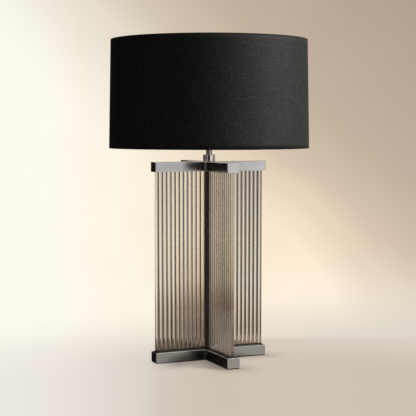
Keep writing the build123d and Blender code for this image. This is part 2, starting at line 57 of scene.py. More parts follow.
class Shader:
    # the node tree of one material or world, with short calls that add to it
    def __init__(self, owner):
        self.owner = owner
        owner.use_nodes = True
        self.tree = owner.node_tree
        self.tree.nodes.clear()

    def plug(self, value, socket):
        # another node's output is linked, a number or colour is typed in
        if isinstance(value, bpy.types.NodeSocket):
            self.tree.links.new(value, socket)
        elif socket.type == "RGBA":
            socket.default_value = tuple(value) + (1,)
        else:
            socket.default_value = value

    def add(self, kind, **inputs):
        node = self.tree.nodes.new("ShaderNode" + kind)
        for name, value in inputs.items():
            self.plug(value, node.inputs[name])
        return node

    def math(self, operation, *values, clamp=False):
        node = self.add("Math")
        node.operation = operation
        node.use_clamp = clamp
        for value, socket in zip(values, node.inputs):
            self.plug(value, socket)
        return node.outputs[0]

    def plus(self, a, b):
        return self.math("ADD", a, b)

    def less(self, a, b):
        return self.math("SUBTRACT", a, b)

    def times(self, a, b):
        return self.math("MULTIPLY", a, b)

    def larger(self, a, b):
        return self.math("MAXIMUM", a, b)

    def remap(self, value, low, high, to=(0.0, 1.0), how="SMOOTHSTEP"):
        node = self.add("MapRange", Value=value)
        node.interpolation_type = how
        for name, number in (("From Min", low), ("From Max", high), ("To Min", to[0]), ("To Max", to[1])):
            node.inputs[name].default_value = number
        return node.outputs["Result"]

    def ramp(self, value, stops):
        # a colour ramp from (place, colour) stops, where a single number means grey
        node = self.add("ValToRGB", Fac=value)
        ramp = node.color_ramp
        while len(ramp.elements) < len(stops):
            ramp.elements.new(0.5)
        for element, (place, colour) in zip(ramp.elements, stops):
            element.position = place
            element.color = ((colour,) * 3 if isinstance(colour, float) else colour) + (1,)
        return node.outputs[0]

    def mix(self, share, a, b, how="MIX"):
        node = self.add("Mix")
        node.data_type = "RGBA"
        node.blend_type = how
        for index, value in ((0, share), (6, a), (7, b)):
            self.plug(value, node.inputs[index])
        return node.outputs[2]

    def tint(self, colour, by):
        return self.mix(1.0, colour, by, "MULTIPLY")

    def stretched(self, vector, scale):
        node = self.add("VectorMath")
        node.operation = "MULTIPLY"
        node.inputs[1].default_value = scale
        self.plug(vector, node.inputs[0])
        return node.outputs[0]

    def place(self, scale=(1, 1, 1)):
        # the lamp's own frame in metres, stretched per axis
        return self.stretched(self.add("TexCoord").outputs["Object"], scale)

    def noise(self, vector, scale, detail=3.0, rough=0.55):
        return self.add("TexNoise", Scale=scale, Detail=detail, Roughness=rough, Vector=vector).outputs["Fac"]

    def bump(self, height, strength, distance, after=None):
        node = self.add("Bump", Strength=strength, Distance=distance, Height=height)
        if after is not None:
            self.plug(after, node.inputs["Normal"])
        return node.outputs[0]

    def surface(self, **inputs):
        bsdf = self.add("BsdfPrincipled", **{spelled[name]: value for name, value in inputs.items()})
        self.out = self.add("OutputMaterial", Surface=bsdf.outputs[0])
        return bsdf

    def blend(self, share, a, b):
        # two shaders in one
        node = self.add("MixShader", Fac=share)
        self.plug(a, node.inputs[1])
        self.plug(b, node.inputs[2])
        return node.outputs[0]


def newFinish(name):
    return Shader(bpy.data.materials.new(name))


def wear(piece, finish):
    # gives a mesh one finish on all its faces
    piece.data.materials.clear()
    piece.data.materials.append(finish.owner)


def shaded(colour, by):
    return tuple(min(1, c * by) for c in colour)


def meshPiece(name, mesh):
    # turns a bmesh into an object in the scene
    data = bpy.data.meshes.new(name)
    mesh.to_mesh(data)
    mesh.free()
    piece = bpy.data.objects.new(name, data)
    bpy.context.scene.collection.objects.link(piece)
    return piece


# metal, plastic and rubber

brushing = {
    "lines": (14, 900, 900),        # fine brushing: long along the arm, close across it
    "bands": (9, 330, 330),         # broader bands of wear
    "grain": 1400.0,
    "cloud": 22.0,
    "grime": 0.12,
    "rim": (1.8 * mm, 0.4 * mm),    # the painted edge highlight starts and is full this far from the edge
    "edgeHighlight": 1.75,
    "bump": 0.16,
    "depth": 0.12 * mm,
}


def brushedMetal(name, colour, rough, low, high, streak=1.0):
    # satin plated bars between two heights: brushed along the arms, a little cloudy, with a painted highlight
    # along the edges
    s = newFinish(name)
    split = s.add("SeparateXYZ", Vector=s.place())
    x, y, z = (split.outputs[k] for k in "XYZ")
    alongX = s.math("GREATER_THAN", s.math("ABSOLUTE", x), s.math("ABSOLUTE", y))

    def brushed(scale, detail, softness):
        onX = s.noise(s.place(scale), 1.0, detail, softness)
        onY = s.noise(s.place((scale[1], scale[0], scale[2])), 1.0, detail, softness)
        return s.plus(s.times(onX, alongX), s.times(onY, s.less(1.0, alongX)))

    lines = brushed(brushing["lines"], 4.0, 0.7)
    bands = brushed(brushing["bands"], 3.0, 0.6)
    grain = s.noise(s.place(), brushing["grain"], 2.0, 0.6)
    cloud = s.noise(s.place(), brushing["cloud"], 4.0, 0.6)
    # painted highlight: sharp edges and a band along the top and bottom edges are lightened
    sharp = s.math("MULTIPLY", s.less(s.add("NewGeometry").outputs["Pointiness"], 0.5), 9.0, clamp=True)
    fromMiddle = s.math("ABSOLUTE", s.less(z, (low + high) / 2))
    rim = s.remap(fromMiddle, *((high - low) / 2 - edge for edge in brushing["rim"]), how="LINEAR")
    edgeHighlight = s.larger(sharp, s.times(rim, s.plus(bands, 0.35)))
    darker, lighter = shaded(colour, 1 - brushing["grime"]), shaded(colour, 1 + brushing["grime"])
    tone = s.mix(s.times(lines, 0.5), darker, lighter)
    tone = s.mix(s.times(cloud, 0.35), tone, shaded(colour, 0.86))
    tone = s.mix(s.ramp(bands, [(0.40, 0.42), (0.56, 0.0)]), tone, shaded(colour, 0.62))
    tone = s.mix(edgeHighlight, tone, shaded(colour, brushing["edgeHighlight"]))
    roughness = s.plus(rough - 0.07, s.plus(s.times(lines, 0.10), s.times(cloud, 0.06)))
    height = s.plus(s.plus(lines, s.times(grain, 0.35)), bands)
    s.surface(colour=tone, metal=1.0, rough=roughness,
              normal=s.bump(height, brushing["bump"] * streak, brushing["depth"]))
    return s


def turnedMetal(name, colour, rough):
    # polished turned metal, with the faint rings that a lathe and buffing wheel leave
    s = newFinish(name)
    rings = s.noise(s.place((30, 30, 2600)), 1.0, 2.0, 0.5)
    smudge = s.noise(s.place(), 90.0, 4.0, 0.6)
    tone = s.mix(s.times(smudge, 0.5), colour, shaded(colour, 0.82))
    s.surface(colour=tone, metal=1.0, rough=s.plus(rough - 0.03, s.times(smudge, 0.08)),
              normal=s.bump(rings, 0.06, 0.1 * mm))
    return s


def plainMetal(name, colour, rough, grainScale):
    # drawn, stamped or plated parts: small grain and cloudy plating
    s = newFinish(name)
    grain = s.noise(s.place(), grainScale, 4.0, 0.6)
    cloud = s.noise(s.place(), 60.0, 4.0, 0.6)
    s.surface(colour=s.mix(cloud, shaded(colour, 0.78), shaded(colour, 1.12)), metal=1.0,
              rough=s.plus(rough - 0.06, s.times(grain, 0.14)), normal=s.bump(grain, 0.15, 0.15 * mm))
    return s


def moulded(name, colour, rough, grainScale, strength, level=0.5):
    # moulded plastic, rubber or paint: orange peel, slight mottling and scuffing
    s = newFinish(name)
    grain = s.noise(s.place(), grainScale, 3.0, 0.6)
    cloud = s.noise(s.place(), 45.0, 4.0, 0.6)
    s.surface(colour=s.mix(cloud, shaded(colour, 0.8), shaded(colour, 1.25)), level=level,
              rough=s.plus(rough - 0.06, s.times(cloud, 0.14)), normal=s.bump(grain, strength, 0.1 * mm))
    return s


# painted light and shade: both crosses are the same satin nickel; the top's colour is a lighter, lit copy and
# the base's a darker, shaded copy
crossFacts = {
    "colour": (0.40, 0.395, 0.385),
    "rough": 0.18,
    "topLitColour": (0.60, 0.60, 0.60),
    "topRough": 0.16,
    "topStreak": 0.8,
}
baseHeights = [corner[2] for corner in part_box("base_cross")]
topHeights = [corner[2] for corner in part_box("top_cross")]

# one finish for each slot that the solids were packed with
finishes = {
    "satin_nickel_base": brushedMetal("satinNickelBase", crossFacts["colour"], crossFacts["rough"],
                                      *baseHeights),
    "satin_nickel_top": brushedMetal("satinNickelTop", crossFacts["topLitColour"], crossFacts["topRough"],
                                     *topHeights, streak=crossFacts["topStreak"]),
    "polished_nickel": turnedMetal("polishedNickel", (0.80, 0.76, 0.69), 0.12),
    "nickel_harp": plainMetal("nickelHarp", (0.56, 0.54, 0.50), 0.30, 700.0),
    "zinc_steel": plainMetal("zincSteel", (0.50, 0.51, 0.52), 0.36, 350.0),
    "black_rubber": moulded("blackRubber", (0.014, 0.013, 0.012), 0.62, 1200.0, 0.2),
    "bronze_black_paint": moulded("bronzeBlackPaint", (0.020, 0.016, 0.013), 0.38, 1500.0, 0.15),
    "black_steel": moulded("blackSteel", (0.022, 0.022, 0.023), 0.46, 800.0, 0.3),
    "black_plastic": moulded("blackPlastic", (0.018, 0.018, 0.019), 0.40, 1400.0, 0.25),
    "white_wire": moulded("whiteWire", (0.74, 0.72, 0.68), 0.34, 700.0, 0.25),
    "nickel_socket": plainMetal("nickelSocket", (0.60, 0.57, 0.50), 0.26, 500.0),
    "phenolic": moulded("phenolic", (0.045, 0.024, 0.014), 0.42, 600.0, 0.3),
    "insulating_paper": moulded("insulatingPaper", (0.33, 0.24, 0.15), 0.85, 1100.0, 0.5, 0.3),
    "brass_contact": plainMetal("brassContact", (0.72, 0.52, 0.24), 0.30, 600.0),
    "bulb_insulation": moulded("bulbInsulation", (0.028, 0.028, 0.032), 0.30, 900.0, 0.2),
    "bulb_cap_metal": plainMetal("bulbCapMetal", (0.66, 0.65, 0.62), 0.28, 500.0),
    "bulb_housing_plastic": moulded("bulbHousingPlastic", (0.76, 0.75, 0.72), 0.42, 900.0, 0.15),
}

for piece in nodes.values():
    slot = piece.data.materials[0].name
    if slot in finishes:
        wear(piece, finishes[slot])
# painted shade: the neck tube wears a darker, shaded copy of the collar's polished nickel
wear(nodes["neck_tube"], turnedMetal("shadedNeckNickel", (0.45, 0.43, 0.38), 0.13))
print("metals, plastics and rubber are on")


# glass rods

rodFacts = {
    "radius": 5.0 * mm,
    "pitch": 10.1 * mm,
    "first": 15.25 * mm,
    "count": 12,
    "low": 19.0 * mm,
    "high": 432.2 * mm,
    "edge": 0.5 * mm,
    "around": 48,
    "tint": (0.62, 0.56, 0.49),
    "density": 7.0,
}


def smokedGlass():
    # the tint deepens with the thickness that light crosses
    s = newFinish("smokedGlass")
    draw = s.noise(s.place((220, 220, 5)), 1.0, 2.0, 0.5)
    film = s.noise(s.place((160, 160, 40)), 1.0, 4.0, 0.6)
    s.surface(colour=(1.0, 1.0, 1.0), rough=s.times(film, 0.01), clear=1.0, ior=1.5,
              normal=s.bump(draw, 0.007, 0.2 * mm))
    inside = s.add("VolumeAbsorption", Color=rodFacts["tint"], Density=rodFacts["density"])
    s.plug(inside.outputs[0], s.out.inputs["Volume"])
    return s


def addRod(mesh, x, y):
    # one solid rod with eased ends, turned at random so that no two look alike
    edge, radius, around = rodFacts["edge"], rodFacts["radius"], rodFacts["around"]
    low, high = rodFacts["low"], rodFacts["high"]
    turn = random.uniform(0, math.tau)
    eased, close, held = 0.29 * edge, edge + 0.3 * mm, 1.2 * mm
    sections = [(low, radius - edge), (low + eased, radius - eased), (low + edge, radius)]
    # rings close by the ends keep the long sides' shading upright
    sections += [(z, radius) for z in (low + close, low + held, (low + high) / 2, high - held, high - close)]
    sections += [(high - edge, radius), (high - eased, radius - eased), (high, radius - edge)]
    angles = [turn + math.tau * i / around for i in range(around)]
    rings = [[mesh.verts.new((x + size * math.cos(a), y + size * math.sin(a), z)) for a in angles]
             for z, size in sections]
    for lower, upper in zip(rings, rings[1:]):
        for i in range(around):
            j = (i + 1) % around
            mesh.faces.new((lower[i], lower[j], upper[j], upper[i])).smooth = True
    mesh.faces.new(list(reversed(rings[0])))
    mesh.faces.new(rings[-1])


glass = smokedGlass()
arms = {"rods_right": (1, 0), "rods_back": (0, 1), "rods_left": (-1, 0), "rods_front": (0, -1)}
for node, (dx, dy) in arms.items():
    mesh = bmesh.new()
    for i in range(rodFacts["count"]):
        reach = rodFacts["first"] + i * rodFacts["pitch"]
        addRod(mesh, dx * reach, dy * reach)
    row = meshPiece("glass_" + node, mesh)
    wear(row, glass)
    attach(row, "lamp")
    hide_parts(node)
print("glass rods stand in their seats")


# rubber seat round the feet of the rods

seatFacts = {
    "low": 18.0 * mm,
    "high": 25.0 * mm,
    "proud": 1.4 * mm,      # how far the lips stand above the groove
    "dip": 0.9 * mm,        # how far they sink between two rods
    "half": 9.6 * mm,
    "reach": 132.3 * mm,
    "slot": 5.02 * mm,      # a hair wider than a rod
    "gap": 1.6 * mm,        # the slot's half width between rods
    "steps": 6,             # stations from rod to rod
}


def lowerSeat():
    # a plus-shaped strip whose top is scalloped between the rods, with a lip that stands up round each one
    mesh = bmesh.new()
    half, slot, reach, gap, base = (seatFacts[k] for k in ("half", "slot", "reach", "gap", "low"))
    crown = seatFacts["high"] + seatFacts["proud"]
    pitch, first = rodFacts["pitch"], rodFacts["first"]
    stations = []
    along = half
    while along < reach:
        stations.append(along)
        along += pitch / seatFacts["steps"]
    stations.append(reach)
    for turn in range(4):
        c, s = round(math.cos(turn * math.pi / 2)), round(math.sin(turn * math.pi / 2))
        for side in (-1, 1):
            rows = []
            for along in stations:
                phase = (along - first) / pitch
                top = crown - seatFacts["dip"] * (0.5 - 0.5 * math.cos(math.tau * phase))
                inner = gap
                if first - slot < along < reach - 1 * mm:
                    fromRod = pitch * (phase - round(phase))
                    inner = max(gap, math.sqrt(max(slot ** 2 - fromRod ** 2, 0)))
                profile = [(half, base), (half, top - 1.1 * mm), (half - 0.5 * mm, top - 0.3 * mm),
                           (half - 1.4 * mm, top), (inner + 0.5 * mm, top), (inner, top - 0.4 * mm),
                           (inner, base)]
                rows.append([mesh.verts.new((c * along - s * side * w, s * along + c * side * w, z))
                             for w, z in profile])
            for a, b in zip(rows, rows[1:]):
                for k in range(len(a)):
                    m = (k + 1) % len(a)
                    mesh.faces.new((a[k], b[k], b[m], a[m])).smooth = True
            mesh.faces.new(rows[0])
            mesh.faces.new(rows[-1])
    bmesh.ops.recalc_face_normals(mesh, faces=mesh.faces)
    return meshPiece("seat_lower", mesh)


seat = lowerSeat()
wear(seat, finishes["black_rubber"])
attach(seat, "lamp")
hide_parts("lower_rod_seat")
print("the rubber seat grips the rods")


# shade

shadeFacts = {
    "low": 479.5 * mm,
    "high": 721.5 * mm,
    "bottomRadius": 225.0 * mm,
    "topRadius": 220.5 * mm,
    "cloth": 0.8 * mm,
    "hem": 8.0 * mm,
    "hemCloth": 0.5 * mm,
    "rolled": 4.7 * mm,         # cloth, lining, ring wire and the turned-in cloth together
    "uneven": 0.02 * mm,
    "ripple": 0.10 * mm,
    "seamAt": 90.0,
    "seamWidth": 12.0 * mm,
    "seamProud": 0.35 * mm,
    "around": 360,
    "rows": 24,
    "cut": (0.258, 1.43),       # the cloth before it was glued on
}

linenFacts = {
    "colour": (0.0125, 0.0130, 0.0136),
    "pale": (0.046, 0.0475, 0.049),
    "girthRadius": 0.223,
    "thread": 1.15 * mm,        # one wave of the weave
    "slub": (18, 900),
    "yarn": (50, 380),          # thicker yarns, a few mm apart
    "yarnBump": (0.9, 1.0 * mm),
    "weaveBump": (0.5, 0.35 * mm),
}


def shadeRadius(z):
    share = (z - shadeFacts["low"]) / (shadeFacts["high"] - shadeFacts["low"])
    return shadeFacts["bottomRadius"] + share * (shadeFacts["topRadius"] - shadeFacts["bottomRadius"])


def blackLinen():
    # plain-weave linen: two sets of uneven threads, pale slubs, and painted shade in the hollows between the
    # weave's crowns
    s = newFinish("blackLinen")
    split = s.add("SeparateXYZ", Vector=s.add("TexCoord").outputs["Object"])
    girth = s.times(s.math("ARCTAN2", split.outputs["Y"], split.outputs["X"]), linenFacts["girthRadius"])
    flat = s.add("CombineXYZ", X=girth, Y=split.outputs["Z"]).outputs[0]

    def threaded(across, up, detail=2.0):
        return s.noise(s.stretched(flat, (across, up, 1)), 1.0, detail)

    def bothWays(long, close):
        return s.plus(s.times(threaded(close, long), 0.5), s.times(threaded(long, close), 0.5))

    wander = s.times(threaded(60, 60), 5.0)
    pitch = math.tau / linenFacts["thread"]
    warp = s.math("SINE", s.plus(s.times(girth, pitch), wander))
    weft = s.math("SINE", s.plus(s.times(split.outputs["Z"], pitch), wander))
    weave = s.math("MULTIPLY_ADD", s.times(warp, weft), 0.5, 0.5)
    threads = bothWays(*linenFacts["slub"])
    thick = bothWays(*linenFacts["yarn"])
    cloud = threaded(9, 9, 3.0)
    tone = s.mix(s.ramp(threads, [(0.36, 0.0), (0.64, 1.0)]), linenFacts["colour"], linenFacts["pale"])
    tone = s.mix(s.ramp(thick, [(0.43, 0.0), (0.57, 1.0)]), s.tint(tone, (0.45, 0.45, 0.45)), tone)
    # painted shade: the hollows of the weave are darkened
    tone = s.mix(s.ramp(s.times(weave, threads), [(0.1, 0.75), (0.5, 0.0)]), tone, (0.004, 0.004, 0.004))
    tone = s.mix(s.times(cloud, 0.3), tone, (0.008, 0.008, 0.008))
    yarn = s.bump(thick, *linenFacts["yarnBump"])
    s.surface(colour=tone, rough=s.plus(0.48, s.times(threads, 0.12)), level=0.13, sheen=0.01, sheenRough=0.5,
              sheenTint=(0.9, 0.9, 0.9),
              normal=s.bump(s.plus(s.times(weave, 0.7), threads), *linenFacts["weaveBump"], yarn))
    return s


linen = blackLinen()


def clothBand(name, loops, node):
    # closes a ring of cross-sections into one band of cloth on the shade
    mesh = bmesh.new()
    rings = [[mesh.verts.new((r * math.cos(a), r * math.sin(a), z)) for r, z in section]
             for a, section in loops]
    for here, there in zip(rings, rings[1:] + rings[:1]):
        for j in range(len(here)):
            k = (j + 1) % len(here)
            mesh.faces.new((here[j], there[j], there[k], here[k])).smooth = True
    bmesh.ops.recalc_face_normals(mesh, faces=mesh.faces)
    piece = meshPiece(name, mesh)
    wear(piece, linen)
    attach(piece, "shade")
    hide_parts(node)
    return piece


def clothWall():
    # the cloth on the drum: taut between the hems, with its glued overlap down the back
    low = shadeFacts["low"] + shadeFacts["hemCloth"]
    high = shadeFacts["high"] - shadeFacts["hemCloth"]
    levels = [low + (high - low) * i / shadeFacts["rows"] for i in range(shadeFacts["rows"] + 1)]
    half = shadeFacts["seamWidth"] / shadeFacts["bottomRadius"] / 2
    seam = math.radians(shadeFacts["seamAt"])
    angles = [math.tau * i / shadeFacts["around"] for i in range(shadeFacts["around"])]
    angles = [a for a in angles if abs(a - seam) > half * 1.4]
    angles += [seam + half * share for share in (-1.15, -1.0, -0.3, 0.3, 1.0, 1.15)]
    loops = []
    for a in sorted(angles):
        over = shadeFacts["seamProud"] if abs(a - seam) <= half * 1.01 else 0.0
        waves = math.sin(4 * a + 1.0) + 0.7 * math.sin(9 * a) + 0.4 * math.sin(17 * a + 2)
        ripple = shadeFacts["ripple"] * waves
        outside = [(shadeRadius(z) + over + ripple * math.sin(math.pi * (z - low) / (high - low)), z)
                   for z in levels]
        loops.append((a, outside + [(shadeRadius(z) - shadeFacts["cloth"], z) for z in reversed(levels)]))
    return clothBand("shade_cloth", loops, "shade_fabric")


def hem(name, rim, way, node):
    # cloth rolled over a rim and its wire, and turned down inside
    thick, deep = shadeFacts["hemCloth"], shadeFacts["hem"]
    outer = shadeRadius(rim)
    inner = outer - shadeFacts["rolled"]
    section = [
        (outer, thick), (outer - 0.02 * mm, 0.25 * thick), (outer - 0.35 * mm, 0), (outer - 1.6 * mm, 0),
        (inner + 0.5 * mm, 0), (inner + 0.1 * mm, 0.15 * mm), (inner, 0.6 * mm),
        (inner - 0.05 * mm, 4.0 * mm), (inner, deep), (inner + thick, deep), (inner + thick, 4.0 * mm),
        (inner + thick, thick + 0.3 * mm), (inner + thick + 0.3 * mm, thick), (outer - 1.5 * mm, thick),
    ]
    loops = []
    for i in range(shadeFacts["around"]):
        a = math.tau * i / shadeFacts["around"]
        waves = math.sin(5 * a + 0.7) + 0.6 * math.sin(11 * a + 2.1) + 0.4 * math.sin(23 * a)
        lift = shadeFacts["uneven"] * waves
        loops.append((a, [(r + lift, rim + way * z) for r, z in section]))
    return clothBand(name, loops, node)


cloth = clothWall()
hems = [hem("hem_top", shadeFacts["high"], -1, "shade_trim_top"),
        hem("hem_bottom", shadeFacts["low"], 1, "shade_trim_bottom")]
print("linen is stretched over the drum")


def liningFinish():
    # smooth pale plastic lining, faintly pebbled
    s = newFinish("shadeLining")
    cloud = s.noise(s.place(), 12.0, 3.0, 0.6)
    tone = s.mix(cloud, (0.70, 0.67, 0.62), (0.78, 0.76, 0.71))
    s.surface(colour=tone, rough=s.plus(0.42, s.times(cloud, 0.12)),
              normal=s.bump(s.noise(s.place(), 700.0, 3.0, 0.6), 0.12, 0.1 * mm))
    return s


def opalGlass():
    # frosted bulb: milky, with light spread just under its skin
    s = newFinish("opalGlass")
    cloud = s.noise(s.place(), 40.0, 3.0, 0.6)
    tone = s.mix(cloud, (0.82, 0.79, 0.73), (0.88, 0.855, 0.80))
    s.surface(colour=tone, rough=s.plus(0.30, s.times(cloud, 0.12)),
              under=0.6, underScale=4.0 * mm, underReach=(1.0, 0.85, 0.7),
              normal=s.bump(s.noise(s.place(), 900.0, 3.0, 0.6), 0.08, 0.1 * mm))
    return s


wear(nodes["shade_liner"], liningFinish())
wear(nodes["bulb_globe"], opalGlass())
print("lining and bulb are on")


# felt under the base

feltFacts = {
    "reach": 134.0 * mm,
    "half": 14.0 * mm,
    "thick": 2.0 * mm,
    "ease": 0.35 * mm,      # how far the cut edge draws in
    "fray": 0.06 * mm,
    "armCells": 34,
    "middleCells": 8,
}


def feltFinish():
    # pressed wool: short tangled fibre
    s = newFinish("darkFelt")
    fuzz = s.noise(s.place(), 1500.0, 5.0, 0.75)
    clump = s.noise(s.place(), 240.0, 4.0, 0.65)
    s.surface(colour=s.mix(s.times(fuzz, clump), (0.008, 0.008, 0.008), (0.040, 0.038, 0.036)), level=0.1,
              rough=s.plus(0.86, s.times(fuzz, 0.1)), sheen=0.2, sheenRough=0.6,
              normal=s.bump(fuzz, 0.8, 0.4 * mm))
    return s


def feltPad():
    # a plus-shaped pad with a soft, slightly frayed edge, laid out as a grid of small squares
    reach, half, thick = feltFacts["reach"], feltFacts["half"], feltFacts["thick"]
    armCells, middleCells = feltFacts["armCells"], feltFacts["middleCells"]
    lines = [-reach + (reach - half) * i / armCells for i in range(armCells)]
    lines += [-half + 2 * half * i / middleCells for i in range(middleCells)]
    lines += [half + (reach - half) * i / armCells for i in range(armCells + 1)]
    cellRange = range(len(lines) - 1)
    mesh = bmesh.new()
    corner = {}

    def inside(i, j):
        x, y = (lines[i] + lines[i + 1]) / 2, (lines[j] + lines[j + 1]) / 2
        return abs(x) < half or abs(y) < half

    def point(i, j, level):
        # edge points draw in a little at the faces and fray by a hair
        if (i, j, level) not in corner:
            x, y = lines[i], lines[j]
            near = [inside(a, b) for a in (i - 1, i) for b in (j - 1, j) if a in cellRange and b in cellRange]
            if len(near) < 4 or not all(near):
                give = feltFacts["ease"] + random.uniform(-feltFacts["fray"], feltFacts["fray"])
                x -= math.copysign(give, x) if abs(x) >= half * 0.99 else 0.0
                y -= math.copysign(give, y) if abs(y) >= half * 0.99 else 0.0
            corner[i, j, level] = mesh.verts.new((x, y, level * thick))
        return corner[i, j, level]

    cells = [(i, j) for i in cellRange for j in cellRange if inside(i, j)]
    known = set(cells)
    for i, j in cells:
        square = ((i, j), (i, j + 1), (i + 1, j + 1), (i + 1, j))
        for level, order in ((0, 1), (1, -1)):
            mesh.faces.new([point(*p, level) for p in square][::order]).smooth = True
        sides = {(-1, 0): (square[0], square[1]), (1, 0): (square[3], square[2]),
                 (0, -1): (square[0], square[3]), (0, 1): (square[1], square[2])}
        for (di, dj), (p, q) in sides.items():
            if (i + di, j + dj) not in known:
                mesh.faces.new((point(*p, 0), point(*q, 0), point(*q, 1), point(*p, 1)))
    bmesh.ops.recalc_face_normals(mesh, faces=mesh.faces)
    return meshPiece("felt_pad", mesh)


felt = feltPad()
wear(felt, feltFinish())
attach(felt, "lamp")
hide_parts("base_felt")
print("felt is under the base")


# backdrop

backFacts = {
    "viewTurn": -23.178,
    "front": (0.80, 0.95),          # how far ahead a direction must point for the wall's pattern to show
    "wallDark": (0.42, 0.34, 0.265),
    "wallLight": (1.0, 0.965, 0.865),
    "wallWarm": (0.99, 0.82, 0.62),
    "plaster": (0.62, 0.56, 0.48),
    "glow": [(0.0, 1.0), (0.052, 0.93), (0.125, 0.83), (0.19, 0.72), (0.25, 0.65), (0.31, 0.51), (0.34, 0.44),
             (0.40, 0.35), (0.52, 0.20), (0.95, 0.0)],
    "glowElsewhere": 0.62,
    "bandLean": 1.19,               # how steeply the band of light sinks,
    "kinkBelow": 0.035,             # faster this far under eye level,
    "kinkAside": (0.14, 0.05),      # from right to left,
    "bandBow": -0.26,               # and slower above it
    "warmAside": (-0.15, 0.055),
    "warmUp": (-0.15, -0.09),
    "warmLow": 0.55,
    "floorTone": (0.66, 0.585, 0.51),
    "floorShadeRight": (0.58, 0.525, 0.465),
    "floorLitLeft": (0.86, 0.815, 0.775),
    "floorFootShade": (0.74, 0.68, 0.61),
    "floorBack": (0.78, 0.71, 0.63),
    "rightAside": (0.06, 0.17),
    "leftAside": (0.02, -0.17),
    "farUp": (-0.200, -0.172),
    "horizon": (-0.140, -0.196),
    "horizonLean": -0.11,
    "roomColour": (1.0, 0.97, 0.93),
    "roomLevel": 0.16,
}

# painted refraction in the rods: bright and dark by direction, painted shade lower down, painted light to the
# right and shade to the far left, and evened out to a painted brown where rods stack up
glassBack = {
    "turn": 26.0,
    "byDirection": [(0.28, (0.010, 0.005, 0.002)), (0.42, (0.30, 0.20, 0.11)), (0.60, (0.92, 0.92, 0.92))],
    "byHeight": [(0.20, (0.76, 0.73, 0.69)), (0.31, (0.80, 0.775, 0.73)), (0.475, (0.85, 0.81, 0.74)),
                 (0.64, (0.82, 0.78, 0.70)), (0.76, (0.69, 0.60, 0.50)), (0.825, (0.61, 0.53, 0.44))],
    "stacked": [(0.20, (1.0, 0.81, 0.60)), (0.31, (1.0, 0.81, 0.60)), (0.475, (1.0, 0.81, 0.59)),
                (0.64, (0.82, 0.63, 0.44)), (0.76, (0.27, 0.18, 0.11)), (0.825, (0.14, 0.08, 0.045))],
    "stackedAt": (2.6, 3.9),        # surfaces crossed
    "stackedShare": 0.95,
    "rightFrom": (-0.03, 0.02),
    "farLeftTo": (-0.04, 0.0),
    "cool": (0.97, 1.01, 1.10),
    "left": (0.90, 0.90, 0.90),
    "right": (1.60, 1.66, 1.74),
    "farLeft": (0.64, 0.645, 0.655),
}

# painted reflections: how light each direction looks in metal only, once round from behind the lamp
paintedMetalBands = [(0.0, 1.0), (0.012, 0.9), (0.045, 0.06), (0.07, 0.06), (0.09, 0.012), (0.19, 0.012),
              (0.24, 0.20), (0.31, 0.20), (0.35, 0.012), (0.39, 0.30), (0.43, 0.30), (0.445, 0.012),
              (0.55, 0.012), (0.57, 1.0), (0.605, 1.0), (0.622, 0.60), (0.636, 1.0), (0.665, 1.0),
              (0.70, 0.34), (0.90, 0.36), (0.96, 1.0)]


def turned(s, x, y):
    # how far ahead and to the right a direction or place lies, seen from the front of the set
    turn = math.radians(-backFacts["viewTurn"])
    ahead = s.plus(s.times(x, math.sin(turn)), s.times(y, math.cos(turn)))
    aside = s.less(s.times(x, math.cos(turn)), s.times(y, math.sin(turn)))
    return ahead, aside


def wallAndFloor(s, direction, ahead, aside, up):
    # a beige wall with a warm band of light that sinks from left to right, over a pale floor with painted
    # light to the left and painted shade to the right and along the wall's foot
    inFront = s.remap(ahead, *backFacts["front"])
    across = s.math("MULTIPLY_ADD", up, backFacts["bandLean"], aside)
    kink = s.math("MINIMUM", s.plus(up, backFacts["kinkBelow"]), 0.0)
    across = s.plus(across, s.times(kink, s.remap(aside, *backFacts["kinkAside"])))
    across = s.math("MULTIPLY_ADD", s.larger(up, 0.0), backFacts["bandBow"], across)
    glow = s.ramp(s.math("MULTIPLY_ADD", across, 2.5, 0.25), backFacts["glow"])
    glow = s.plus(s.times(glow, inFront), s.times(backFacts["glowElsewhere"], s.less(1.0, inFront)))
    warmth = s.times(s.remap(aside, *backFacts["warmAside"]),
                     s.remap(up, *backFacts["warmUp"], (backFacts["warmLow"], 1.0)))
    light = s.mix(s.times(warmth, inFront), backFacts["wallLight"], backFacts["wallWarm"])
    wall = s.mix(glow, backFacts["wallDark"], light)
    mottle = s.ramp(s.noise(direction, 16.0, 5.0, 0.6), [(0.35, 0.07), (0.65, 0.0)])
    wall = s.mix(mottle, wall, backFacts["plaster"])

    # painted light on the floor to the left, painted shade to its right and along the foot of the wall
    rightward = s.times(s.remap(aside, *backFacts["rightAside"]), inFront)
    leftward = s.times(s.remap(aside, *backFacts["leftAside"]), inFront)
    far = s.times(s.remap(up, *backFacts["farUp"]), s.less(1.0, leftward))
    floor = s.mix(rightward, backFacts["floorTone"], backFacts["floorShadeRight"])
    floor = s.mix(s.times(leftward, 0.95), floor, backFacts["floorLitLeft"])
    floor = s.mix(far, floor, backFacts["floorFootShade"])
    floor = s.mix(inFront, backFacts["floorBack"], floor)
    line = s.math("MULTIPLY_ADD", s.times(aside, inFront), backFacts["horizonLean"], up)
    return s.mix(s.remap(line, *backFacts["horizon"]), wall, floor)


